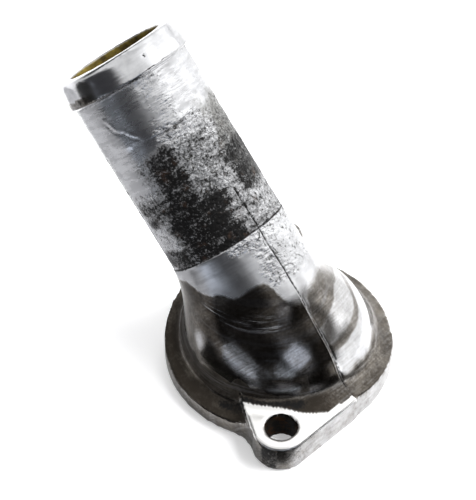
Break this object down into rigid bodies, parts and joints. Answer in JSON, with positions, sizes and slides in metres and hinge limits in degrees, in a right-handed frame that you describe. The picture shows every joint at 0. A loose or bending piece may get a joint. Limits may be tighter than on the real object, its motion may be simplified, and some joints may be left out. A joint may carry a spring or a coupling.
{
  "type": "coolant flange",
  "caption": "Cast aluminium coolant flange with a domed body, bolt ears and a slanted neck for a hose.",
  "frame": {"origin": "under the middle of the bounding box, on the sealing face's plane", "axes": "+Z away from the sealing face, +X the way the hose neck leans"},
  "size_m": [0.1068, 0.0646, 0.0889],
  "materials": {
    "cast_aluminium": "as cast and worn, bright where rubbed, pitted and stained on the neck"
  },
  "bodies": {
    "root": {"casting": "cast_aluminium"}
  },
  "joints": []
}
